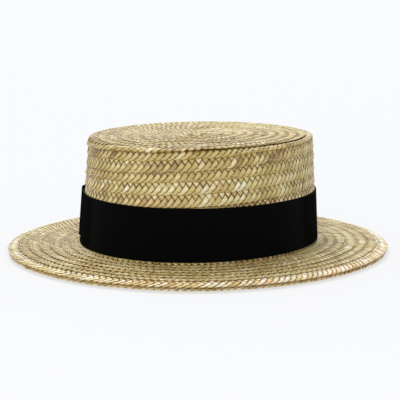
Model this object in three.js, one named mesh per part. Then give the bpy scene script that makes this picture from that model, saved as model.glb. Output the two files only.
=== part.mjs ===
// A straw boater hat with a black ribbon and a flat side bow.
//
// Millimetres, +Z up, origin on the table under the middle of the hat. The long way of
// the head runs along Y and the bow sits at -X. Every round piece is turned as a lathe
// profile and then drawn out from a circle to the oval of a head.

import * as THREE from 'three';
import { mergeVertices } from 'three/addons/utils/BufferGeometryUtils.js';

// Head oval, outside of the crown at its foot
const CROWN_LONG = 102; // half of the length, along Y
const CROWN_SHORT = 85; // half of the width, along X
const OVAL_CORE = 30; // inside this radius the oval shrinks evenly to a point
const FULLNESS = 1.2; // how far the oval swells past an ellipse between its axes

// Straw
const STRAW = 2; // mean thickness of the sewn braid
const LAP = 0.8; // height of the step where one row of braid lies on the next
const GAP = 0.3; // clearance between separate pieces

// Crown
const CROWN_HEIGHT = 86; // from the top of the brim to the top of the tip
const CROWN_TAPER = 5.4; // how much the radius shrinks over that height
const SIDE_ROW = 9; // height of one row of braid on the side
const TOP_ROW = 7.6; // height of the uppermost row, shortened by the tip
const TIP_ROWS = 10;
const TIP_OVERHANG = 0.9; // how far the edge of the tip stands out over the side

// Brim
const BRIM_WIDTH = 57.6;
const BRIM_ROW = 8.4;
const RIM_DROP = 2.4; // how far the outermost row slopes down
const COLLAR = 2; // radius of the bend from the crown into the brim
const FOOT_WIDTH = 3; // flat ring that the hat stands on

// Ribbon
const RIBBON = 1; // thickness
const BAND_FOOT = 1.8; // bottom edge of the ribbon above the brim
const BAND_HEIGHT = 40.6;

// Bow
const BOW_LOOP = 57; // from the middle of the bow to the end of a loop
const BOW_SHIFT = -14; // the middle of the bow along Y
const BOW_ROOT = 0.4; // half of the space between the two loops
const BOW_FOLD = 1; // radius of the fold at the end of a loop
const KNOT_WIDTH = 16;

// Fineness of the round forms
const AROUND = 64;
const COLLAR_STEPS = 4;
const LAY_STEPS = 10;
const FOLD_STEPS = 6;
const LOOP_STEPS = 2 * LAY_STEPS + FOLD_STEPS;
const KNOT_STEPS = 4;

// Levels and radii that follow
const MEAN_RADIUS = (CROWN_LONG + CROWN_SHORT) / 2;
const OVAL = (CROWN_LONG - CROWN_SHORT) / 2;
const RIM_TOP = 2 * STRAW + GAP;
const BRIM_TOP = RIM_TOP + RIM_DROP;
const TIP_TOP = BRIM_TOP + CROWN_HEIGHT;
const SIDE_TOP = TIP_TOP - STRAW - GAP;
const SIDE_FOOT = BRIM_TOP + COLLAR + GAP;
const RIM_RADIUS = MEAN_RADIUS + BRIM_WIDTH;
const BAND_BOTTOM = BRIM_TOP + BAND_FOOT;
const BAND_TOP = BAND_BOTTOM + BAND_HEIGHT;
const BAND_OUTSIDE = GAP + RIBBON;

const STRAW_LOOK = { color: 0xd9bf86, roughness: 0.55, metalness: 0 };
const RIBBON_LOOK = { color: 0x0b0b0d, roughness: 0.8, metalness: 0 };

// Mean outer radius of the crown at a height
function crownRadius(z) {
  return MEAN_RADIUS - CROWN_TAPER * (z - BRIM_TOP) / CROWN_HEIGHT;
}

// Point of the oval that stands for a radius and an angle of the turned form
function ovalPoint(radius, angle, z) {
  const fade = Math.min(1, radius / OVAL_CORE);
  const swell = FULLNESS * fade * Math.sin(2 * angle) ** 2;
  const x = (radius - OVAL * fade + swell) * Math.cos(angle);
  const y = (radius + OVAL * fade + swell) * Math.sin(angle);
  return new THREE.Vector3(x, y, z);
}

// Move every vertex, then weld the seams so that the surface is closed
function reshape(geometry, move) {
  const position = geometry.getAttribute('position');
  const vertex = new THREE.Vector3();
  for (let i = 0; i < position.count; i += 1) {
    vertex.fromBufferAttribute(position, i);
    const moved = move(vertex);
    position.setXYZ(i, moved.x, moved.y, moved.z);
  }
  geometry.deleteAttribute('normal');
  geometry.deleteAttribute('uv');
  const welded = mergeVertices(geometry, 1e-3);
  welded.computeVertexNormals();
  return welded;
}

// Turn a profile of [radius, z] points about the Z axis and draw it out to the oval
function turnedOval(profile) {
  const points = profile.map(([radius, z]) => new THREE.Vector2(radius, z));
  const lathe = new THREE.LatheGeometry(points, AROUND);
  lathe.rotateX(Math.PI / 2);
  return reshape(lathe, (v) => ovalPoint(Math.hypot(v.x, v.y), Math.atan2(v.y, v.x), v.z));
}

// Lay a flat form on the side of the crown at -X. Its x runs along the ribbon towards
// +Y, its y stands off the crown and its z is the height.
function wrapOnCrown(geometry) {
  return reshape(geometry, (v) => {
    const angle = Math.PI - (v.x + BOW_SHIFT) / CROWN_LONG;
    return ovalPoint(crownRadius(v.z) + v.y, angle, v.z);
  });
}

// Flat top of the crown: each row of braid rises outwards and steps down on the next
function crownTip() {
  const rim = crownRadius(TIP_TOP) + TIP_OVERHANG;
  const insideWall = crownRadius(SIDE_TOP) - STRAW - RIBBON;
  const profile = [0, insideWall, rim].map((radius) => [radius, TIP_TOP - STRAW]);
  for (let row = TIP_ROWS; row > 0; row -= 1) {
    profile.push([rim * row / TIP_ROWS, TIP_TOP + LAP / 2]);
    profile.push([rim * (row - 1) / TIP_ROWS, TIP_TOP - LAP / 2]);
  }
  return turnedOval(profile);
}

// Side wall of the crown: shingled rows above the ribbon, plain where it is covered
function crownSide() {
  const inside = (z) => crownRadius(z) - STRAW;
  const profile = [[inside(SIDE_FOOT), SIDE_FOOT], [crownRadius(SIDE_FOOT), SIDE_FOOT]];
  const edges = [SIDE_TOP];
  for (let z = TIP_TOP - TOP_ROW; z > BAND_TOP + GAP; z -= SIDE_ROW) {
    edges.unshift(z);
  }
  edges.forEach((edge) => {
    profile.push([crownRadius(edge) - LAP / 2, edge]);
    if (edge < SIDE_TOP) {
      profile.push([crownRadius(edge) + LAP / 2, edge]);
    }
  });
  profile.push([inside(SIDE_TOP), SIDE_TOP], profile[0]);
  return turnedOval(profile);
}

// Brim: bends out of the crown, then level lapped rows, the outermost sloping down
function brim() {
  const bend = MEAN_RADIUS + COLLAR;
  const bendArc = (radius, step) => {
    const turn = Math.PI / 2 * step / COLLAR_STEPS;
    return [bend - radius * Math.cos(turn), BRIM_TOP + COLLAR - radius * Math.sin(turn)];
  };
  const profile = [];
  for (let step = 0; step <= COLLAR_STEPS; step += 1) {
    profile.push(bendArc(COLLAR + STRAW, step));
  }
  const slopeStart = RIM_RADIUS - BRIM_ROW;
  profile.push([slopeStart, BRIM_TOP - STRAW], [RIM_RADIUS, RIM_TOP - STRAW]);
  profile.push([RIM_RADIUS, RIM_TOP + LAP / 2], [slopeStart, BRIM_TOP - LAP / 2]);
  for (let radius = slopeStart; radius - BRIM_ROW > bend; radius -= BRIM_ROW) {
    profile.push([radius, BRIM_TOP + LAP / 2]);
    profile.push([radius - BRIM_ROW, BRIM_TOP - LAP / 2]);
  }
  for (let step = COLLAR_STEPS; step >= 0; step -= 1) {
    profile.push(bendArc(COLLAR, step));
  }
  profile.push(profile[0]);
  return turnedOval(profile);
}

// Second ply of braid under the outermost row, flat where the hat stands on it
function brimEdgeUnderlay() {
  const inside = RIM_RADIUS - BRIM_ROW;
  return turnedOval([
    [RIM_RADIUS - FOOT_WIDTH, 0],
    [RIM_RADIUS, 0],
    [RIM_RADIUS, STRAW],
    [inside, STRAW + RIM_DROP],
    [inside, RIM_DROP],
    [RIM_RADIUS - FOOT_WIDTH, 0],
  ]);
}

// Ribbon round the foot of the crown, a closed band that leans with the side
function hatBand() {
  const inner = (z) => [crownRadius(z) + GAP, z];
  const outer = (z) => [crownRadius(z) + BAND_OUTSIDE, z];
  return turnedOval([
    inner(BAND_BOTTOM),
    outer(BAND_BOTTOM),
    outer(BAND_TOP),
    inner(BAND_TOP),
    inner(BAND_BOTTOM),
  ]);
}

// One loop of the bow: ribbon that runs out along the band, folds and comes back.
// direction is 1 for the loop towards +Y and -1 for the other.
function bowLoop(direction) {
  const against = BAND_OUTSIDE + GAP + RIBBON / 2; // stand-off of the lower lay
  const layLength = BOW_LOOP - RIBBON / 2 - BOW_FOLD - BOW_ROOT;
  const geometry = new THREE.BoxGeometry(1, RIBBON, BAND_HEIGHT, LOOP_STEPS, 1, 1);
  const position = geometry.getAttribute('position');
  const vertex = new THREE.Vector3();
  for (let i = 0; i < position.count; i += 1) {
    vertex.fromBufferAttribute(position, i);
    const step = LOOP_STEPS * (0.5 + direction * vertex.x);
    const turn = Math.PI * THREE.MathUtils.clamp((step - LAY_STEPS) / FOLD_STEPS, 0, 1);
    const lay = Math.min(step, LOOP_STEPS - step, LAY_STEPS) / LAY_STEPS;
    const along = BOW_ROOT + layLength * lay + (BOW_FOLD - vertex.y) * Math.sin(turn);
    const off = against + BOW_FOLD - (BOW_FOLD - vertex.y) * Math.cos(turn);
    position.setXYZ(i, direction * along, off, vertex.z + BAND_BOTTOM + BAND_HEIGHT / 2);
  }
  return wrapOnCrown(geometry);
}

// Upright wrap over the middle of the bow, turned in over both edges of the ribbon
function bowKnot() {
  const foot = BAND_BOTTOM - GAP;
  const head = BAND_TOP + GAP;
  const wrapInside = BAND_OUTSIDE + 2 * GAP + RIBBON + 2 * BOW_FOLD;
  const turnIn = LAP + GAP; // stand-off of the turned-in ends, clear of the straw
  const outline = new THREE.Shape([
    new THREE.Vector2(turnIn, foot - RIBBON),
    new THREE.Vector2(wrapInside + RIBBON / 2, foot - RIBBON),
    new THREE.Vector2(wrapInside + RIBBON, foot - RIBBON / 2),
    new THREE.Vector2(wrapInside + RIBBON, head + RIBBON / 2),
    new THREE.Vector2(wrapInside + RIBBON / 2, head + RIBBON),
    new THREE.Vector2(turnIn, head + RIBBON),
    new THREE.Vector2(turnIn, head),
    new THREE.Vector2(wrapInside, head),
    new THREE.Vector2(wrapInside, foot),
    new THREE.Vector2(turnIn, foot),
  ]);
  const geometry = new THREE.ExtrudeGeometry(outline, {
    depth: KNOT_WIDTH,
    steps: KNOT_STEPS,
    bevelEnabled: false,
  });
  geometry.translate(0, 0, -KNOT_WIDTH / 2);
  const axes = new THREE.Matrix4().makeBasis(
    new THREE.Vector3(0, 1, 0),
    new THREE.Vector3(0, 0, 1),
    new THREE.Vector3(1, 0, 0),
  );
  geometry.applyMatrix4(axes);
  return wrapOnCrown(geometry);
}

const hat = new THREE.Group();

function addPiece(name, geometry, look) {
  const mesh = new THREE.Mesh(geometry, new THREE.MeshStandardMaterial(look));
  mesh.name = name;
  hat.add(mesh);
}

addPiece('crown_tip', crownTip(), STRAW_LOOK);
addPiece('crown_side', crownSide(), STRAW_LOOK);
addPiece('brim', brim(), STRAW_LOOK);
addPiece('brim_edge_underlay', brimEdgeUnderlay(), STRAW_LOOK);
addPiece('hat_band', hatBand(), RIBBON_LOOK);
addPiece('bow_loop_front', bowLoop(1), RIBBON_LOOK);
addPiece('bow_loop_rear', bowLoop(-1), RIBBON_LOOK);
addPiece('bow_knot', bowKnot(), RIBBON_LOOK);

export default hat;
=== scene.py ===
"""Looks of the straw boater: plaited straw braid sewn in a spiral, a ribbed ribbon and bow."""

import math

import bpy
import numpy as np
from mathutils import Matrix, Vector


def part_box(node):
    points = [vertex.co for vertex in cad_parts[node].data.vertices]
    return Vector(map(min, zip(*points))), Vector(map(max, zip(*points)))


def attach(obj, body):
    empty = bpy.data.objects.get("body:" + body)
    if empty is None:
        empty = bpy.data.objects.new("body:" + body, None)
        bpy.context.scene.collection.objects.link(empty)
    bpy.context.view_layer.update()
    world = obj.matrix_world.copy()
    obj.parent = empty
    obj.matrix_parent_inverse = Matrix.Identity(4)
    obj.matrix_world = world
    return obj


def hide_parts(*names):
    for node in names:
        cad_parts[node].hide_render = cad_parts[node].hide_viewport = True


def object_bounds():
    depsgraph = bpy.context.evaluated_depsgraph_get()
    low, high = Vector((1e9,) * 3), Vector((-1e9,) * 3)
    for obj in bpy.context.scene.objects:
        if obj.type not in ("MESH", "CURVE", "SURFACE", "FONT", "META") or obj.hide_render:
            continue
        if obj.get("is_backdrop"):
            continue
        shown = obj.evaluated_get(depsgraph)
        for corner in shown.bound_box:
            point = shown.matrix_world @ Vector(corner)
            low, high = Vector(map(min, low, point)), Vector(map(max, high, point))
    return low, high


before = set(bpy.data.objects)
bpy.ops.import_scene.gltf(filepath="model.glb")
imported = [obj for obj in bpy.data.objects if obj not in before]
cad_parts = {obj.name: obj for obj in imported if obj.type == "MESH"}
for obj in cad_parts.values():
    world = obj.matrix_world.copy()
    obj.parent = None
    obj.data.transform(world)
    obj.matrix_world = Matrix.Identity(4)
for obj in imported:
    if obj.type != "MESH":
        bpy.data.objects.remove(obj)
cad_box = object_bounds()

# ---- Sizes, in millimetres. Places and outer sizes come from the frame.

MM = 0.001
SEED = 20
STRAW = 2.0  # mean thickness of the sewn braid
LAP = 0.8  # step between rows in the frame's straw parts
GAP = 0.3  # clearance in the frame
RIBBON = 1.0
COLLAR = 2.0  # bend from the crown into the brim
TIP_OVERHANG = 0.9
OVAL_CORE = 30.0
FULLNESS = 1.2
BRIM_ROW = 8.4

low, high = (np.array(v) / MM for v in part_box("brim"))
RIM = (high[0] + high[1]) / 2
OVAL = (high[1] - high[0]) / 2
BRIM_TOP = high[2] - COLLAR
low, high = (np.array(v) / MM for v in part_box("crown_tip"))
TIP_TOP = high[2] - LAP / 2
TIP_RADIUS = (high[0] + high[1]) / 2 - TIP_OVERHANG
low, high = (np.array(v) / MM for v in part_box("hat_band"))
BAND_LOW, BAND_HIGH = low[2], high[2]
FOOT_RADIUS = (high[0] + high[1]) / 2 - GAP - RIBBON
UNDERLAY_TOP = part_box("brim_edge_underlay")[1][2] / MM
RIM_DROP = UNDERLAY_TOP - STRAW
TAPER = (FOOT_RADIUS - TIP_RADIUS) / (TIP_TOP - BAND_LOW)
MEAN_RADIUS = FOOT_RADIUS + TAPER * (BAND_LOW - BRIM_TOP)


def crown_radius(z):
    return MEAN_RADIUS - TAPER * (z - BRIM_TOP)


def oval_points(radius, angle, z):
    """Points, in metres, of the oval that stands for a radius and an angle of a round form."""
    fade = np.minimum(1, radius / OVAL_CORE)
    swell = FULLNESS * fade * np.sin(2 * angle) ** 2
    x = (radius - OVAL * fade + swell) * np.cos(angle)
    y = (radius + OVAL * fade + swell) * np.sin(angle)
    return np.stack([x, y, z + 0 * x], -1) * MM


# ---- The straw's middle surface, followed from the middle of the tip out to the rim

CORNER = 1.3  # middle radius of the turn from tip to side


def meridian():
    """Closely spaced [radius, height] points of the middle surface, and the length to each."""
    top = TIP_TOP - STRAW / 2
    wall = crown_radius(TIP_TOP - CORNER) - STRAW / 2
    turn = np.linspace(0, math.pi / 2, 24)
    corner = np.stack(
        [wall - CORNER + CORNER * np.sin(turn), top - CORNER + CORNER * np.cos(turn)], 1
    )
    bend = COLLAR + STRAW / 2
    foot = crown_radius(BRIM_TOP + COLLAR) - STRAW / 2
    collar = np.stack(
        [foot + bend - bend * np.cos(turn), BRIM_TOP + COLLAR - bend * np.sin(turn)], 1
    )
    slope_start = RIM - BRIM_ROW
    flat = BRIM_TOP - STRAW / 2
    corners = [[[0, top]], corner, collar, [[slope_start, flat], [RIM, flat - RIM_DROP]]]
    coarse = np.concatenate([np.array(c, float) for c in corners])
    step = np.hypot(*np.diff(coarse, axis=0).T)
    at = np.concatenate([[0], np.cumsum(step)])
    length = np.arange(0, at[-1], 0.25)
    line = np.stack([np.interp(length, at, coarse[:, i]) for i in (0, 1)], 1)
    return length, line


LENGTH, LINE = meridian()
OUTWARD = np.gradient(LINE, LENGTH, axis=0)
SOFTEN = np.ones(7) / 7
OUTWARD = np.stack(
    [np.convolve(np.pad(OUTWARD[:, i], 3, mode="edge"), SOFTEN, mode="valid") for i in (0, 1)], 1
)
OUTWARD /= np.hypot(OUTWARD[:, 0], OUTWARD[:, 1])[:, None]
RIM_LENGTH = LENGTH[-1]


def length_at(radius=None, height=None):
    """Length along the meridian at a height of the side, or at a radius of the brim."""
    if height is not None:
        side = (LINE[:, 0] > TIP_RADIUS / 2) & (LINE[:, 0] < MEAN_RADIUS + COLLAR)
        return float(np.interp(-height, -LINE[side, 1], LENGTH[side]))
    brim = LENGTH > length_at(height=BRIM_TOP + COLLAR)
    return float(np.interp(radius, LINE[brim, 0], LENGTH[brim]))


def surface(angle, length, lift):
    """Points over the straw's middle surface. Past the rim the surface goes straight on."""
    radius = np.interp(length, LENGTH, LINE[:, 0])
    height = np.interp(length, LENGTH, LINE[:, 1])
    along_r = np.interp(length, LENGTH, OUTWARD[:, 0])
    along_z = np.interp(length, LENGTH, OUTWARD[:, 1])
    beyond = np.maximum(length - RIM_LENGTH, 0) + np.minimum(length, 0)
    radius = radius + beyond * along_r - lift * along_z
    height = height + beyond * along_z + lift * along_r
    return oval_points(np.maximum(radius, 0.05), angle, height)


# ---- Rows of the spiral. A turn is one round; its whole numbers lie in front of the camera.

FRONT = -math.pi / 4
BRAID = 13.0  # width of the braid
TIP_PITCH = 8.8
# Outer edges of the side's rows below the tip's top; the first is the edge of the tip
SIDE_EDGES = (0.4, 5.9, 15.2, 22.9, 32.2, 41.7, 49.9, 58.1, 66.3, 74.5, 82.7)

tip_edges = [TIP_PITCH * k for k in range(10)]
side_edges = [length_at(height=TIP_TOP - STRAW / 2 - d) for d in SIDE_EDGES]
brim_edges = [length_at(radius=RIM - BRIM_ROW * k) for k in range(6, -1, -1)]
EDGES = np.array(tip_edges + side_edges + brim_edges)
LIP = len(tip_edges)
BAND_TURN = LIP + 5
FOOT_TURN = LIP + len(side_edges)
LAST_TURN = len(EDGES) - 1.5
TILT_TURNS = (0, LIP, LIP + 1, LIP + 2, LIP + 3, BAND_TURN, FOOT_TURN, LAST_TURN)
TILTS = (0, 3.0, 4.3, 3.9, 3.0, 2.6, 0.4, 0.0)  # how far a row leans down left of the front


def edge_length(turn):
    """Length along the meridian of the outer edge of the row after so many turns."""
    whole = np.floor(turn)
    late = np.interp(turn, (FOOT_TURN - 2, FOOT_TURN + 1), (0, 1))
    part = turn - whole
    part = part - late * np.sin(2 * math.pi * part) / (2 * math.pi)
    level = np.interp(np.maximum(whole + part, CENTRE_TURN), np.arange(len(EDGES)), EDGES)
    tilt = np.interp(turn, TILT_TURNS, TILTS)
    return level + tilt * np.sin(2 * math.pi * turn)


def path_table(turns, edge):
    """Run of the braid against the angle: its length from the last turn inwards."""
    angle = FRONT - 2 * math.pi * turns
    points = surface(angle, np.maximum(edge - BRAID / 3, 1.6), 0) / MM
    step = np.linalg.norm(np.diff(points, axis=0), axis=1)
    return np.concatenate([[0], np.cumsum(step)])


CENTRE_TURN = 0.28  # the innermost round; the end of the braid goes on down under it
FIRST_TURN = -3.0
spiral_turns = np.linspace(LAST_TURN, FIRST_TURN, 30000)
spiral_run = path_table(spiral_turns, edge_length(spiral_turns))

# ---- The braid: five flat splints, each going over two and under two

SPLINTS = 5
CELL = 5.1
ADVANCE = CELL * SPLINTS / 2  # run of one pass from edge to edge
STEEPEN = 0.5  # how much steeper than its mean a splint runs at the middle of the braid
PLY = 0.9  # thickness of the braid
FLOAT_LIFT = 0.24  # how far a splint lies over or under the middle of the braid
SPLINT_HALF = 0.21  # half of a splint's thickness
BULGE_SPREAD = 0.22  # how unevenly the folds stand out along a row's edge
LIFT_SPREAD = 0.05  # how unevenly the splints lie
LAG = 0.28  # how far a fold slips along the row
TONE_PATCH = 17.0  # length of a lighter or darker stretch of straw
HUE_PATCH = 29.0  # length of a yellower or redder stretch
NOISE_CELLS = 4096
BALE = 900  # straws that a splint's colour is drawn from
BULGE = 0.3  # how far a fold stands out past the edge
ROW = 8.8  # mean distance from row to row
SEAM = 1.9  # distance of the sewing from a row's outer edge
SEAM_WIDTH = 0.8
SEAM_DEPTH = 0.32
STITCH = 4.2
THREAD = 0.42
STRAY = 4.5  # mean length of a loose end
WAVER = 0.4  # how far a row strays to either side
UNEVEN = 0.13  # and up and down
TIP_PLY = 0.55  # the tip's rows are pressed flatter
LIP_LIFT = 0.9  # how far the edge of the tip stands out over the side
LIP_TUCK = 0.8  # how far the row below it goes in under that edge
STATIONS = np.array([0, 0.05, 0.18, 0.42, 0.5, 0.58, 0.82, 0.95])
HEIGHTS = np.array([0, 0.8, 1, 1, 0, -1, -1, -0.8])
ACROSS = np.array([-1, -0.55, 0.55, 1, 0.55, -0.55])
THICK = np.array([0, 1, 1, 0, -1, -1])


def climb(part):
    """Way across the braid, 0 to 1, after a part of a pass: steep in the middle, flat at folds."""
    return part - STEEPEN * np.sin(2 * math.pi * part) / (2 * math.pi)


def smooth_noise(at, spacing, count, seed):
    """Seeded noise along a line, from -1 to 1, with one independent value each spacing."""
    values = np.random.default_rng(seed).uniform(-1, 1, count)
    place = at / spacing
    index = np.floor(place).astype(int)
    part = place - index
    part = part * part * (3 - 2 * part)
    return values[index % count] * (1 - part) + values[(index + 1) % count] * part


def braid_mesh(name, place, first, last, period=None, seed=0, shift=(0, 0)):
    """One piece of braid with all its splints, from pass first up to pass last.

    place(run, across, lift) gives the points; period is the number of passes after which a
    closed ring of braid repeats; shift is added to the tone and hue of all its straw.
    """
    verts, faces, tints, strands, cells = [], [], [], [], []
    offset = 0
    cell_index = 0
    for splint in range(SPLINTS):
        n = np.arange(first, last + 1)
        key = n % period if period else n
        draw = np.random.default_rng(seed + 100 * splint).normal(size=(4000, 6))
        jit = draw[key % 4000]
        up = (n % 2 == 0)[:, None]
        run0 = (n * ADVANCE + splint * 2 * ADVANCE / SPLINTS)[:, None]
        s = STATIONS[None, :]
        run = run0 + s * ADVANCE
        key_next = (n + 1) % period if period else n + 1
        lag = np.stack([draw[key % 4000, 0], draw[key_next % 4000, 0]], 1)
        edge_bit = np.abs(2 * s - 1)
        run = run + LAG * (lag[:, :1] * (1 - s) + lag[:, 1:] * s) * edge_bit
        v = np.where(up, climb(s), 1 - climb(s)) * BRAID
        v_plain = v
        fold = s == 0
        outward = np.where(up, -1, 1)
        v = v + fold * outward * (BULGE + BULGE_SPREAD * np.clip(jit[:, 1:2], -1.5, 1.5))
        lift = HEIGHTS[None, :] * (FLOAT_LIFT + LIFT_SPREAD * np.clip(jit[:, 2:3], -2, 2))
        lift = lift + LIFT_SPREAD * np.clip(jit[:, 3:4], -2, 2) * np.sin(math.pi * s)
        fill = CELL / 2 * np.clip(0.95 + 0.05 * jit[:, 4:5], 0.84, 1.04)
        fill = fill * (1 - 0.1 * fold)
        turn = np.minimum(1, 8 * np.minimum(s, 1 - s))
        c = ACROSS[None, None, :] * fill[..., None]
        t = THICK[None, None, :] * SPLINT_HALF
        run_p = run[..., None] + c * (1 - turn[..., None] / 2)
        s_p = climb(s[..., None] - c * turn[..., None] / 2 / ADVANCE)
        v_p = np.where(up[..., None], s_p, 1 - s_p) * BRAID + (v - v_plain)[..., None]
        facing = np.where(up, 1.0, -1.0)
        facing_p = np.where(fold, 0, facing)[..., None]
        l_p = lift[..., None] + t * facing_p
        v_p = v_p - t * fold[..., None]
        grid = place(run_p, v_p, l_p)
        rings = grid.reshape(-1, 6, 3)[: (len(n) - 1) * 8 + 1]
        passes = np.repeat(np.arange(len(n)), 8)[: len(rings)]
        count = len(rings)
        # colour of each vertex: tint runs of a splint, passes and stains
        run_c = run.reshape(-1)[:count]
        bale = np.random.default_rng(seed + 7 + splint).normal(size=BALE)
        length_of = 6 + splint % 3
        splint_tone = bale[(key // length_of) % BALE][passes]
        pass_tone = jit[passes, 5]
        tone = 0.55 * splint_tone + 0.6 * pass_tone
        tone = tone + smooth_noise(run_c, TONE_PATCH, NOISE_CELLS, seed + 11)
        hue = bale[(key // length_of + 450) % BALE][passes]
        hue = 0.7 * hue + 0.8 * smooth_noise(run_c, HUE_PATCH, NOISE_CELLS, seed + 13)
        tint = np.stack([tone + shift[0], hue + shift[1], 0 * tone, 0 * tone], 1)
        tint = np.repeat(tint, 6, 0)
        tint[:, 3] = v_p.reshape(-1)[: 6 * count]
        tints.append(tint)
        along = (passes * 8 + np.tile(np.arange(8), len(n))[:count]) * ADVANCE / 8
        strand = np.stack([np.repeat(along, 6), np.tile(ACROSS, count)], 1)
        verts.append(rings.reshape(-1, 3))
        i = np.arange(count - 1)[:, None]
        k = np.arange(6)[None, :]
        a = offset + i * 6 + k
        b = offset + i * 6 + (k + 1) % 6
        quads = np.stack([a, b, b + 6, a + 6], -1).reshape(-1, 4)
        faces.append(quads)
        strands.append(strand)
        pass_of = cell_index + (i // 8) + 0 * k
        cells.append(np.stack([pass_of, (i % 8) + 0 * k, k + 0 * i], -1).reshape(-1, 3))
        cell_index += len(n)
        offset += count * 6
    verts = np.concatenate(verts)
    quads = np.concatenate(faces)
    tints = np.concatenate(tints)
    strands = np.concatenate(strands)
    cells = np.concatenate(cells)
    caps = cap_faces(last - first)
    return build(name, verts, quads, caps, tints, strands, cells, cell_index)


def cap_faces(passes):
    """The six-sided ends of every splint, as vertex lists."""
    per = (passes * 8 + 1) * 6
    caps = []
    for splint in range(SPLINTS):
        start = splint * per
        caps.append([start + k for k in range(5, -1, -1)])
        caps.append([start + per - 6 + k for k in range(6)])
    return caps


def build(name, verts, quads, caps, tints, strands, cells, cell_count):
    """A mesh object from arrays, with its tints and its two UV maps."""
    mesh = bpy.data.meshes.new(name)
    loops = np.concatenate([quads.reshape(-1), np.array(caps, int).reshape(-1)])
    mesh.vertices.add(len(verts))
    mesh.vertices.foreach_set("co", verts.astype(np.float32).reshape(-1))
    mesh.loops.add(len(loops))
    mesh.loops.foreach_set("vertex_index", loops.astype(np.int32))
    starts = np.concatenate([np.arange(len(quads)) * 4, len(quads) * 4 + np.arange(len(caps)) * 6])
    mesh.polygons.add(len(starts))
    mesh.polygons.foreach_set("loop_start", starts.astype(np.int32))
    mesh.update(calc_edges=True)
    mesh.polygons.foreach_set("use_smooth", np.ones(len(starts), bool))
    # unwrap: one small rectangle for each face, a pass in each cell
    per_cell = 10
    side = math.ceil(math.sqrt(cell_count + math.ceil(len(caps) / per_cell)))
    cell = 1 / side
    inset = 0.04
    corner = np.array([[0, 0], [0, 1], [1, 1], [1, 0]])
    column = cells[:, 0] % side
    row = cells[:, 0] // side
    x = column[:, None] + inset + (1 - 2 * inset) * (cells[:, 1:2] + corner[None, :, 0]) / 8
    y = row[:, None] + inset + (1 - 2 * inset) * (cells[:, 2:3] + corner[None, :, 1]) / 6
    quad_uv = np.stack([x, y], -1).reshape(-1, 2) * cell
    spot = np.arange(len(caps))
    home = cell_count + spot // per_cell
    spot = spot % per_cell
    centre = np.stack([home % side + 0.12 + 0.19 * (spot % 5), home // side + 0.25 + 0.5 * (spot // 5)], 1)
    turn = np.arange(6) * math.pi / 3
    hexagon = 0.08 * np.stack([np.cos(turn), np.sin(turn)], 1)
    cap_uv = (centre[:, None, :] + hexagon[None, :, :]).reshape(-1, 2) * cell
    bake = mesh.uv_layers.new(name="OFBake")
    bake.data.foreach_set(
        "uv", np.concatenate([quad_uv, cap_uv]).astype(np.float32).reshape(-1)
    )
    splint = mesh.uv_layers.new(name="splint")
    splint.data.foreach_set("uv", strands[loops].astype(np.float32).reshape(-1))
    tone = mesh.attributes.new("tone", "FLOAT_COLOR", "POINT")
    tone.data.foreach_set("color", tints.astype(np.float32).reshape(-1))
    obj = bpy.data.objects.new(name, mesh)
    bpy.context.scene.collection.objects.link(obj)
    return obj


def row_lift(across, ply=PLY):
    """Lift of a row's middle: it tucks under the row before and is drawn in along the seam."""
    seam = np.exp(-(((across - SEAM) / SEAM_WIDTH) ** 2))
    return STRAW / 2 - ply * across / ROW - SEAM_DEPTH * seam


def spiral_place(run, across, lift):
    """Point of the spiral braid: across is measured from its outer edge inwards."""
    turn = np.interp(run, spiral_run, spiral_turns)
    edge = edge_length(turn)
    edge = edge + WAVER * smooth_noise(run, 31.0, 4096, 3)
    room = np.clip(edge, 2.0, BRAID) / BRAID
    inward = across * room
    near_lip = np.exp(-(((turn - LIP) / 0.45) ** 4))
    ply = np.interp(turn, (LIP - 1, LIP), (TIP_PLY, PLY))
    base = row_lift(inward, ply) + LIP_LIFT * near_lip * np.exp(-np.maximum(inward, 0) / 3)
    below_lip = np.exp(-(((turn - LIP - 1) / 0.46) ** 4))
    base = base - LIP_TUCK * below_lip * np.clip((inward - 3.5) / 3.0, 0, 1)
    base = base - 0.5 * np.maximum(CENTRE_TURN - turn, 0)
    base = base + UNEVEN * smooth_noise(run, 13.0, 4096, 4)
    return surface(FRONT - 2 * math.pi * turn, edge - inward, base + lift)


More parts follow.
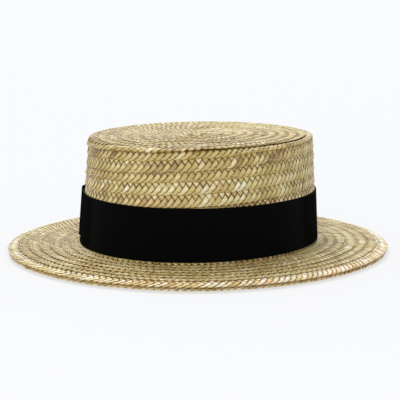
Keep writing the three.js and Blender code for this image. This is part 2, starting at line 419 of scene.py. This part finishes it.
def seam_mesh(name, place, run_end, seed):
    """Stitches of the seam along a row: short lengths of thread with gaps between."""
    count = int(run_end / STITCH)
    draw = np.random.default_rng(seed).normal(size=(count, 3))
    start = (np.arange(count) + 0.06 * np.clip(draw[:, 0], -2, 2)) * STITCH
    t = np.array([0, 0.08, 0.5, 0.92, 1])
    high_at = np.array([-0.25, 0.28, 0.38, 0.28, -0.25])
    thick = np.array([0.5, 0.9, 1, 0.9, 0.5]) * THREAD / 2
    turn = np.arange(6) * math.pi / 3
    run = start[:, None, None] + (t * STITCH * 0.86)[None, :, None] + 0 * turn
    across = SEAM + 0.15 * draw[:, 1][:, None, None] + (thick[None, :, None] * np.cos(turn))
    lift = high_at[None, :, None] + FLOAT_LIFT + thick[None, :, None] * np.sin(turn)
    points = place(run, across, lift)
    verts = points.reshape(-1, 3)
    per = 6 * len(t)
    base = (np.arange(count) * per)[:, None, None]
    i = np.arange(len(t) - 1)[None, :, None] * 6
    k = np.arange(6)[None, None, :]
    a, b = base + i + k, base + i + (k + 1) % 6
    quads = np.stack([a, a + 6, b + 6, b], -1).reshape(-1, 4)
    tone = np.repeat(draw[:, 2], per)
    tints = np.stack([0.5 * tone + 1.5, 0.3 * tone, 0 * tone, BRAID + 0 * tone], 1)
    strands = np.stack([run.reshape(-1), np.zeros(len(verts))], 1)
    stitch = np.arange(count)[:, None, None] + 0 * i + 0 * k
    cells = np.stack([stitch, i // 6 + 0 * stitch + 0 * k, k + 0 * stitch + 0 * i], -1)
    caps = []
    for n in range(count):
        caps.append([n * per + k for k in range(6)])
        caps.append([(n + 1) * per - 6 + k for k in range(5, -1, -1)])
    return build(name, verts, quads, caps, tints, strands, cells.reshape(-1, 3), count)


def stray_mesh(name, roots, seed):
    """Loose ends of splints that stand off the side. roots are [angle, height] of each."""
    draw = np.random.default_rng(seed).uniform(-1, 1, size=(len(roots), 4))
    verts, quads, caps, tints, strands, cells = [], [], [], [], [], []
    steps = np.linspace(0, 1, 5)
    for n, (angle, height) in enumerate(roots):
        reach = STRAY * (1 + 0.4 * draw[n, 0])
        width = 0.55 * (1 - 0.5 * steps)[:, None]
        thick = 0.12 + 0 * width
        rise = (reach * (0.55 + 0.35 * draw[n, 1]) * steps)[:, None]
        along = (reach * (0.6 + 0.4 * draw[n, 2]) * steps)[:, None]
        length = length_at(height=height) - rise + width * ACROSS
        lift = 0.5 + (reach * (0.46 + 0.1 * draw[n, 3]) * steps**2)[:, None] + thick * THICK
        ring = surface(math.radians(angle) - along / MEAN_RADIUS, length, lift)
        verts.append(ring.reshape(-1, 3))
        start = n * len(steps) * 6
        i, k = np.arange(len(steps) - 1)[:, None], np.arange(6)[None, :]
        a, b = start + i * 6 + k, start + i * 6 + (k + 1) % 6
        quads.append(np.stack([a, a + 6, b + 6, b], -1).reshape(-1, 4))
        caps.append([start + k for k in range(6)])
        caps.append([start + len(steps) * 6 - 6 + k for k in range(5, -1, -1)])
        cells.append(np.stack([n + 0 * i + 0 * k, i + 0 * k, k + 0 * i], -1).reshape(-1, 3))
    verts = np.concatenate(verts)
    tints = np.tile([0.6, 0.2, 0, BRAID], (len(verts), 1))
    strands = np.zeros((len(verts), 2))
    return build(name, verts, np.concatenate(quads), caps, tints, strands, np.concatenate(cells), len(roots))


def pass_at_turn(turn):
    """Number of whole passes from the outer end of the spiral to a turn."""
    run = np.interp(-turn, -spiral_turns, spiral_run)
    return int(run / ADVANCE)


def ring_place(edge, base_lift, edge_lift, puff):
    """Place function of a closed ring of braid at one length, and its number of passes.

    At the very edge the ring lies edge_lift higher and is thicker by puff.
    """
    turns = np.linspace(1, 0, 2000)
    around = path_table(turns, np.full(2000, edge))
    passes = 2 * int(round(around[-1] / ADVANCE / 2))
    scale = around[-1] / (passes * ADVANCE)

    def place(run, across, lift):
        along = np.mod(run * scale, around[-1])
        turn = np.interp(along, around, turns)
        near = np.exp(-np.maximum(across, 0) / 2.5)
        base = row_lift(across) - STRAW / 2 + base_lift + edge_lift * near
        stray = 0.3 * smooth_noise(along, around[-1] / 24, 24, 5)
        return surface(
            FRONT - 2 * math.pi * turn, edge - across + stray, base + lift * (1 + puff * near)
        )

    return place, passes


# ---- Materials


def nodes_of(name):
    material = bpy.data.materials.new(name)
    material.use_nodes = True
    tree = material.node_tree
    tree.nodes.clear()
    output = tree.nodes.new("ShaderNodeOutputMaterial")
    shader = tree.nodes.new("ShaderNodeBsdfPrincipled")
    tree.links.new(shader.outputs[0], output.inputs[0])
    return material, tree, shader


def ramp(tree, value, stops):
    node = tree.nodes.new("ShaderNodeValToRGB")
    elements = node.color_ramp.elements
    while len(elements) < len(stops):
        elements.new(0.5)
    for element, (at, colour) in zip(elements, stops):
        element.position = at
        element.color = (*colour, 1)
    tree.links.new(value, node.inputs[0])
    return node.outputs[0]


def maths(tree, kind, a, b, c=None):
    node = tree.nodes.new("ShaderNodeMath")
    node.operation = kind
    for socket, value in zip(node.inputs, (a, b, c)):
        if value is None:
            continue
        if isinstance(value, (int, float)):
            socket.default_value = value
        else:
            tree.links.new(value, socket)
    return node.outputs[0]


def mix(tree, kind, factor, a, b):
    node = tree.nodes.new("ShaderNodeMix")
    node.data_type = "RGBA"
    node.blend_type = kind
    for socket, value in ((node.inputs[0], factor), (node.inputs[6], a), (node.inputs[7], b)):
        if isinstance(value, (int, float)):
            socket.default_value = value
        elif isinstance(value, tuple):
            socket.default_value = (*value, 1)
        else:
            tree.links.new(value, socket)
    return node.outputs[2]


def noise(tree, vector, scale, detail=2.0, dimensions="3D"):
    node = tree.nodes.new("ShaderNodeTexNoise")
    node.noise_dimensions = dimensions
    node.inputs["Scale"].default_value = scale
    node.inputs["Detail"].default_value = detail
    tree.links.new(vector, node.inputs["Vector"])
    return node.outputs["Fac"]


def scaled(tree, vector, by):
    node = tree.nodes.new("ShaderNodeVectorMath")
    node.operation = "MULTIPLY"
    tree.links.new(vector, node.inputs[0])
    node.inputs[1].default_value = by
    return node.outputs[0]


# Painted shade by the distance, in parts of a pass, from where a splint dives under the others: dark in the
# gap where it dives, lighter along the crease near each fold
DIVE_SHADE = (
    (0.0, (0.20, 0.13, 0.035)),
    (0.045, (0.30, 0.21, 0.07)),
    (0.075, (0.92, 0.89, 0.80)),
    (0.11, (1.0, 1.0, 1.0)),
    (0.27, (1.0, 1.0, 1.0)),
    (0.31, (0.60, 0.48, 0.28)),
    (0.345, (1.0, 1.0, 1.0)),
)
# Painted shade at a row's outer edge and in the seam's groove, with a painted highlight on the fold strip
# between them, by the distance from a row's outer edge, in parts of the braid's width
ROW_EDGE_PAINTED_SHADE_AND_HIGHLIGHT = (
    (0.0, (0.80, 0.74, 0.60)),
    (0.07, (1.04, 1.02, 0.96)),
    (0.15, (0.80, 0.72, 0.54)),
    (0.21, (1.0, 1.0, 1.0)),
)


def straw_material():
    material, tree, shader = nodes_of("straw")
    tone = tree.nodes.new("ShaderNodeAttribute")
    tone.attribute_name = "tone"
    parts = tree.nodes.new("ShaderNodeSeparateColor")
    tree.links.new(tone.outputs["Color"], parts.inputs[0])
    uv = tree.nodes.new("ShaderNodeUVMap")
    uv.uv_map = "splint"
    coords = tree.nodes.new("ShaderNodeTexCoord")
    split = tree.nodes.new("ShaderNodeSeparateXYZ")
    tree.links.new(uv.outputs[0], split.inputs[0])

    shade = maths(tree, "MULTIPLY_ADD", parts.outputs[0], 0.16, 0.5)
    body = ramp(
        tree,
        shade,
        (
            (0.0, (0.28, 0.15, 0.04)),
            (0.2, (0.40, 0.27, 0.075)),
            (0.42, (0.545, 0.42, 0.145)),
            (0.62, (0.66, 0.54, 0.235)),
            (0.82, (0.79, 0.72, 0.47)),
            (1.0, (0.88, 0.85, 0.70)),
        ),
    )
    hue = maths(tree, "MULTIPLY_ADD", parts.outputs[1], 0.16, 0.5)
    cast = ramp(
        tree,
        hue,
        (
            (0.0, (0.90, 1.0, 0.66)),
            (0.3, (0.97, 1.0, 0.88)),
            (0.55, (1.0, 1.0, 1.0)),
            (0.78, (1.06, 0.95, 0.92)),
            (1.0, (1.12, 0.84, 0.70)),
        ),
    )
    colour = mix(tree, "MULTIPLY", 1.0, body, cast)
    fibre = noise(tree, scaled(tree, uv.outputs[0], (0.06, 5.0, 1.0)), 1.0, 3.0, "2D")
    fibre_light = ramp(tree, fibre, ((0.3, (0.80, 0.78, 0.74)), (0.7, (1.08, 1.08, 1.08))))
    colour = mix(tree, "MULTIPLY", 0.8, colour, fibre_light)
    blotch = noise(tree, scaled(tree, coords.outputs["Object"], (260.0, 260.0, 260.0)), 1.0)
    blotch_tone = ramp(tree, blotch, ((0.35, (0.86, 0.82, 0.74)), (0.6, (1.02, 1.02, 1.02))))
    colour = mix(tree, "MULTIPLY", 0.6, colour, blotch_tone)
    part = maths(tree, "FRACT", maths(tree, "DIVIDE", split.outputs[0], ADVANCE), 0.0)
    dive = maths(tree, "ABSOLUTE", maths(tree, "SUBTRACT", part, 0.5), 0.0)
    dive_painted_shade = ramp(tree, dive, DIVE_SHADE)
    # How strongly the painted dive shade is laid on changes in soft patches over the hat
    patch = noise(tree, scaled(tree, coords.outputs["Object"], (45.0, 45.0, 70.0)), 1.0, 1.0)
    dive_shade_strength = maths(tree, "MULTIPLY_ADD", patch, 2.0, -0.2)
    dive_shade_strength.node.use_clamp = True
    colour = mix(tree, "MULTIPLY", dive_shade_strength, colour, dive_painted_shade)
    # Painted shade along the row's edge and seam groove, painted highlight on the fold strip
    groove = maths(tree, "DIVIDE", tone.outputs["Alpha"], BRAID)
    colour = mix(tree, "MULTIPLY", 1.0, colour, ramp(tree, groove, ROW_EDGE_PAINTED_SHADE_AND_HIGHLIGHT))
    # Painted shade in the crevices between splints: each splint darkens towards its two edges
    edge = maths(tree, "ABSOLUTE", split.outputs[1], 0.0)
    edge = maths(tree, "POWER", edge, 5.0)
    colour = mix(tree, "MULTIPLY", maths(tree, "MULTIPLY", edge, 0.8), colour, (0.42, 0.26, 0.10))
    tree.links.new(colour, shader.inputs["Base Color"])
    gloss = maths(tree, "MULTIPLY_ADD", fibre, 0.25, 0.30)
    tree.links.new(gloss, shader.inputs["Roughness"])
    shader.inputs["Specular IOR Level"].default_value = 0.55
    shader.inputs["Coat Weight"].default_value = 0.25
    shader.inputs["Coat Roughness"].default_value = 0.35
    bump = tree.nodes.new("ShaderNodeBump")
    bump.inputs["Strength"].default_value = 0.35
    bump.inputs["Distance"].default_value = 0.0002
    tree.links.new(fibre, bump.inputs["Height"])
    tree.links.new(bump.outputs[0], shader.inputs["Normal"])
    return material


def ribbon_material():
    material, tree, shader = nodes_of("ribbon")
    coords = tree.nodes.new("ShaderNodeTexCoord")
    weave = noise(tree, scaled(tree, coords.outputs["Object"], (900.0, 900.0, 2600.0)), 1.0)
    colour = ramp(tree, weave, ((0.3, (0.0006, 0.0006, 0.0006)), (0.7, (0.0016, 0.0016, 0.0016))))
    tree.links.new(colour, shader.inputs["Base Color"])
    rough = maths(tree, "MULTIPLY_ADD", weave, 0.2, 0.6)
    tree.links.new(rough, shader.inputs["Roughness"])
    shader.inputs["Specular IOR Level"].default_value = 0.03
    shader.inputs["Sheen Weight"].default_value = 0.10
    shader.inputs["Sheen Roughness"].default_value = 0.2
    bump = tree.nodes.new("ShaderNodeBump")
    bump.inputs["Strength"].default_value = 0.4
    bump.inputs["Distance"].default_value = 0.0001
    tree.links.new(weave, bump.inputs["Height"])
    tree.links.new(bump.outputs[0], shader.inputs["Normal"])
    return material


RIM_PAINTED_BOUNCE_LIGHT = (1.5, 0.8)  # the two outermost rows are painted paler and warmer: painted bounce light from the floor
STRAW_LOOK = straw_material()
RIBBON_LOOK = ribbon_material()


def add_part(obj, look, slot, *nodes):
    obj.data.materials.append(look)
    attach(obj, "root")
    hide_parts(*nodes)


# ---- Straw pieces

# Angle in degrees and height in mm of each loose end
STRAY_ENDS = (
    (38, 84.5), (41, 75.0), (36, 57.5), (12, 66.0), (-8, 81.0), (-38, 58.5), (-72, 76.0),
    (-104, 67.5), (-128, 83.0), (-131, 62.0), (80, 70.0), (120, 79.0), (150, 60.0), (190, 72.0),
)

last_pass = pass_at_turn(FIRST_TURN) - 3
lip_pass = pass_at_turn(LIP + 0.5)
band_pass = pass_at_turn(BAND_TURN + 0.5)
foot_pass = pass_at_turn(FOOT_TURN - 0.5)
brim_pass = pass_at_turn(LAST_TURN - 3)

add_part(
    braid_mesh("tip_braid", spiral_place, lip_pass, last_pass, seed=SEED),
    STRAW_LOOK, "straw", "crown_tip",
)
add_part(
    braid_mesh("side_braid", spiral_place, band_pass, lip_pass, seed=SEED),
    STRAW_LOOK, "straw", "crown_side",
)
add_part(
    braid_mesh("side_braid_under_ribbon", spiral_place, foot_pass, band_pass, seed=SEED),
    STRAW_LOOK, "straw", "crown_side",
)
add_part(
    braid_mesh("brim_braid_inner", spiral_place, brim_pass, foot_pass, seed=SEED),
    STRAW_LOOK, "straw", "brim",
)
add_part(
    braid_mesh("brim_braid_outer", spiral_place, 0, brim_pass, seed=SEED),
    STRAW_LOOK, "straw", "brim",
)
add_part(
    seam_mesh("seam", spiral_place, spiral_run[-1] - 60, SEED + 1),
    STRAW_LOOK, "straw", "crown_side", "brim", "crown_tip",
)
add_part(
    stray_mesh("stray_ends", STRAY_ENDS, SEED + 2), STRAW_LOOK, "straw", "crown_side",
)
# Both rim rings carry the painted bounce light: their straw is painted paler and warmer
place, passes = ring_place(RIM_LENGTH, STRAW / 2, -0.35, 0.8)
add_part(
    braid_mesh("rim_braid", place, 0, passes, period=passes, seed=SEED + 3, shift=RIM_PAINTED_BOUNCE_LIGHT),
    STRAW_LOOK, "straw", "brim",
)
place, passes = ring_place(RIM_LENGTH - 0.2, -1.05, -1.35, 0.8)
add_part(
    braid_mesh("underlay_braid", place, 0, passes, period=passes, seed=SEED + 5, shift=RIM_PAINTED_BOUNCE_LIGHT),
    STRAW_LOOK, "straw", "brim_edge_underlay",
)

# ---- Ribbon: closed strips with ribs that run across them

RIB = 0.62
RIB_HEIGHT = 0.07


def strip_mesh(name, middle, levels, place, closed=False, half=RIBBON / 2):
    """A solid ribbon. middle is its line seen edge on, levels go across its width, and
    place(first, second, level) turns a point of that line and a level into a point."""
    ahead = np.roll(middle, -1, 0) if closed else np.concatenate([middle[1:], middle[-1:]])
    behind = np.roll(middle, 1, 0) if closed else np.concatenate([middle[:1], middle[:-1]])
    along = ahead - behind
    if closed:
        along[[0, -1]] = along[1]
    normal = np.stack([-along[:, 1], along[:, 0]], 1)
    normal /= np.linalg.norm(normal, axis=1)[:, None]
    count, across = len(middle), len(levels)
    rib = np.where(np.arange(count) % 2 == 0, RIB_HEIGHT, -RIB_HEIGHT)[:, None]
    fade = np.ones(across)
    fade[[0, -1]] = -1.5
    fade[[1, -2]] = 0.3
    thick = half + rib * np.where(fade < 0, 0, fade)[None, :] - (fade < 0)[None, :] * 0.12
    grid = []
    for side in (1, -1):
        spot = middle[:, None, :] + side * thick[..., None] * normal[:, None, :]
        grid.append(place(spot[..., 0], spot[..., 1], levels[None, :]))
    verts = np.concatenate([g.reshape(-1, 3) for g in grid])
    span = count if closed else count - 1
    i, j = np.arange(span)[:, None], np.arange(across - 1)[None, :]
    after = (i + 1) % count
    a, b = i * across + j, after * across + j
    back = count * across
    quads = [
        np.stack([a, b, b + 1, a + 1], -1).reshape(-1, 4),
        np.stack([a + back, a + 1 + back, b + 1 + back, b + back], -1).reshape(-1, 4),
    ]
    a, b = i[:, 0] * across, after[:, 0] * across
    quads.append(np.stack([a, a + back, b + back, b], -1))
    a, b = a + across - 1, b + across - 1
    quads.append(np.stack([a, b, b + back, a + back], -1))
    if not closed:
        j = np.arange(across - 1)
        end = j + (count - 1) * across
        quads.append(np.stack([j, j + 1, j + 1 + back, j + back], -1))
        quads.append(np.stack([end, end + back, end + 1 + back, end + 1], -1))
    quads = np.concatenate(quads)
    corner = verts[quads]
    volume = np.einsum("ij,ij->i", corner[:, 0], np.cross(corner[:, 1], corner[:, 2])).sum()
    volume += np.einsum("ij,ij->i", corner[:, 0], np.cross(corner[:, 2], corner[:, 3])).sum()
    if volume < 0:
        quads = quads[:, ::-1]
    mesh = bpy.data.meshes.new(name)
    mesh.from_pydata(verts.tolist(), [], quads.tolist())
    mesh.update()
    obj = bpy.data.objects.new(name, mesh)
    bpy.context.scene.collection.objects.link(obj)
    return obj


BOW_LOOP = 57.0
BOW_SHIFT = -14.0
BOW_ROOT = 0.4
BOW_FOLD = 1.0
KNOT_WIDTH = 16.0
BOW_FLARE = 1.35  # how far the end of a loop stands off the band
BOW_SWELL = 0.9  # how far the upper lay of a loop stands up in its middle
BAND_OUT = GAP + RIBBON
LONG_RADIUS = MEAN_RADIUS + OVAL
ribbon_levels = np.concatenate([[0, 0.35, 1.0], np.linspace(3, BAND_HIGH - BAND_LOW - 3, 8)])
ribbon_levels = BAND_LOW + np.concatenate(
    [ribbon_levels, BAND_HIGH - BAND_LOW - np.array([1.0, 0.35, 0])]
)


def on_crown(along, off, z):
    """Point that lies off the crown's side, at a distance along it from the bow."""
    angle = math.pi - (along + BOW_SHIFT) / LONG_RADIUS
    return oval_points(crown_radius(z) + off, angle, z)


def band_middle():
    """The band's line with two stations for each rib, evenly along the oval."""
    along = np.linspace(0, 2 * math.pi * LONG_RADIUS, 4001)
    points = on_crown(along, GAP, BAND_LOW) / MM
    run = np.concatenate([[0], np.cumsum(np.linalg.norm(np.diff(points, axis=0), axis=1))])
    count = 2 * int(run[-1] / RIB)
    even = np.interp(np.arange(count) * run[-1] / count, run, along)
    return np.stack([even, np.full(count, GAP + RIBBON / 2)], 1)


def loop_middle(direction):
    """The line of one loop: out along the band, round the fold and back."""
    lay = BOW_LOOP - RIBBON / 2 - BOW_FOLD - BOW_ROOT
    lower = BAND_OUT + GAP + RIBBON / 2
    out = np.linspace(0, 1, int(lay / RIB * 2))
    turn = np.linspace(0, math.pi, 14)[1:-1]
    along = np.concatenate([BOW_ROOT + lay * out, BOW_ROOT + lay + BOW_FOLD * np.sin(turn)])
    off = np.concatenate([0 * out, BOW_FOLD * (1 - np.cos(turn))])
    along = np.concatenate([along, BOW_ROOT + lay * out[::-1]])
    swell = BOW_SWELL * np.sin(math.pi * np.clip((out[::-1] - 0.12) / 0.88, 0, 1)) ** 2
    off = np.concatenate([off, 2 * BOW_FOLD + swell])
    flare = BOW_FLARE * (along / along.max()) ** 3
    return np.stack([direction * along, lower + off + flare], 1)


def knot_middle():
    """The line of the knot seen from its side, [off, height], from its lower end up and in."""
    inside = BAND_OUT + 2 * GAP + RIBBON + 2 * BOW_FOLD + RIBBON / 2
    foot, head = BAND_LOW - GAP - RIBBON / 2, BAND_HIGH + GAP + RIBBON / 2
    near = LAP + GAP
    round_off = 1.4
    turn = np.linspace(0, math.pi / 2, 6)
    low_in = np.stack([np.linspace(near, inside - round_off, 6), np.full(6, foot)], 1)
    low_turn = np.stack(
        [inside - round_off + round_off * np.sin(turn), foot + round_off * (1 - np.cos(turn))], 1
    )
    heights = np.arange(foot + round_off, head - round_off, RIB / 2)[1:-1]
    face = np.stack([inside + 0.35 * np.sin(math.pi * (heights - foot) / (head - foot)), heights], 1)
    high_turn = low_turn[::-1] * [1, -1] + [0, foot + head]
    high_in = low_in[::-1] * [1, -1] + [0, foot + head]
    return np.concatenate([low_in, low_turn[1:], face, high_turn, high_in[1:]])


def add_ribbon(name, middle, levels, place, node, closed=False):
    """One ribbon piece. The flat length that it is cut to is measured along its middle, but nothing uses it.
    """
    strip = strip_mesh(name, middle, levels, place, closed=closed)
    add_part(strip, RIBBON_LOOK, "ribbon", node)
    half_way = (levels[0] + levels[-1]) / 2
    line = place(middle[:, 0], middle[:, 1], half_way)
    if closed:
        line = np.concatenate([line, line[:1]])
    length = float(np.linalg.norm(np.diff(line, axis=0), axis=1).sum())


add_ribbon(
    "band_ribbon", band_middle(), ribbon_levels, on_crown, "hat_band", closed=True
)
for piece, node, direction in (
    ("bow_loop_front_ribbon", "bow_loop_front", 1),
    ("bow_loop_rear_ribbon", "bow_loop_rear", -1),
):
    add_ribbon(piece, loop_middle(direction), ribbon_levels, on_crown, node)
knot_levels = KNOT_WIDTH * (np.array([0, 0.02, 0.06, 0.2, 0.35, 0.5, 0.65, 0.8, 0.94, 0.98, 1]) - 0.5)
add_ribbon(
    "bow_knot_ribbon", knot_middle(), knot_levels,
    lambda off, z, x: on_crown(x, off, z), "bow_knot",
)

# ---- Floor, light and camera

FLOOR_REACH = 40.0  # metres
FLOOR_DROP = 0.0005  # metres below the hat's lowest plane
FLOOR_GLOW = 0.635
floor_mesh = bpy.data.meshes.new("floor")
floor_mesh.from_pydata(
    [(x * FLOOR_REACH, y * FLOOR_REACH, -FLOOR_DROP) for x, y in ((-1, -1), (1, -1), (1, 1), (-1, 1))],
    [], [(0, 1, 2, 3)],
)
floor = bpy.data.objects.new("floor", floor_mesh)
bpy.context.scene.collection.objects.link(floor)
floor_look, _, floor_shader = nodes_of("floor_paint")
floor_shader.inputs["Base Color"].default_value = (0.2, 0.2, 0.2, 1)
floor_shader.inputs["Roughness"].default_value = 0.9
floor_shader.inputs["Emission Color"].default_value = (1.0, 0.995, 0.99, 1)
floor_shader.inputs["Emission Strength"].default_value = FLOOR_GLOW
floor_shader.inputs["Specular IOR Level"].default_value = 0.1
floor_mesh.materials.append(floor_look)
floor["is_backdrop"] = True

SKY = 0.88
world = bpy.data.worlds.new("studio")
bpy.context.scene.world = world
world.use_nodes = True
background = world.node_tree.nodes["Background"]
background.inputs["Color"].default_value = (0.95, 0.99, 1.08, 1)
background.inputs["Strength"].default_value = SKY


def area_light(name, location, target, size, power):
    data = bpy.data.lights.new(name, "AREA")
    data.shape = "DISK"
    data.size = size
    data.energy = power
    data.color = (1.0, 0.95, 0.86)
    lamp = bpy.data.objects.new(name, data)
    bpy.context.scene.collection.objects.link(lamp)
    lamp.location = location
    aim = np.array(target) - np.array(location)
    lamp.rotation_mode = "QUATERNION"
    lamp.rotation_quaternion = Vector(aim).to_track_quat("-Z", "Y")


# The camera stands at the front of the long oval's diagonal, a little above the crown.
AZIMUTH = math.radians(45)
ELEVATION = math.radians(11.769)
DISTANCE = 1.13396
PITCH = math.radians(10.149)
YAW = math.radians(-0.046)
ROLL = math.radians(1.026)
PIXELS = 400
FOCAL_PIXELS = 1394.62
SENSOR = 36.0

right = Vector((math.cos(AZIMUTH), math.sin(AZIMUTH), 0))
depth = Vector((-math.sin(AZIMUTH), math.cos(AZIMUTH), 0))
up = Vector((0, 0, 1))
camera_data = bpy.data.cameras.new("camera")
camera_data.sensor_width = SENSOR
camera_data.lens = FOCAL_PIXELS / PIXELS * SENSOR
camera = bpy.data.objects.new("camera", camera_data)
bpy.context.scene.collection.objects.link(camera)
bpy.context.scene.camera = camera
place_at = -depth * DISTANCE * math.cos(ELEVATION)
place_at.z = DISTANCE * math.sin(ELEVATION) + BRIM_TOP * MM
look = math.sin(YAW) * math.cos(PITCH) * right
look += math.cos(YAW) * math.cos(PITCH) * depth - math.sin(PITCH) * up
turned = look.to_track_quat("-Z", "Y").to_matrix() @ Matrix.Rotation(ROLL, 3, "Z")
camera.matrix_world = Matrix.Translation(place_at) @ turned.to_4x4()

KEY_POWER = 2.22
KEY_SPREAD = math.radians(35)
FILL_POWER = 6.5
FILL_SIZE = 0.9  # metres
HAT_MIDDLE = (0, 0, 0.05)

sun_data = bpy.data.lights.new("key", "SUN")
sun_data.energy = KEY_POWER
sun_data.color = (0.97, 1.0, 1.05)
sun_data.angle = KEY_SPREAD
sun = bpy.data.objects.new("key", sun_data)
bpy.context.scene.collection.objects.link(sun)
sun.rotation_mode = "QUATERNION"
sun.rotation_quaternion = (-(depth * 0.45 + up - right * 0.15)).to_track_quat("-Z", "Y")
fill_at = -depth * 1.3 - right * 0.5 + up * 0.25
area_light("fill", fill_at, HAT_MIDDLE, FILL_SIZE, FILL_POWER)

bpy.context.scene.view_settings.view_transform = "Standard"

visual_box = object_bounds()
boxes = {"cad": cad_box, "visual": visual_box}
{k: [list(corner) for corner in v] for k, v in boxes.items()}
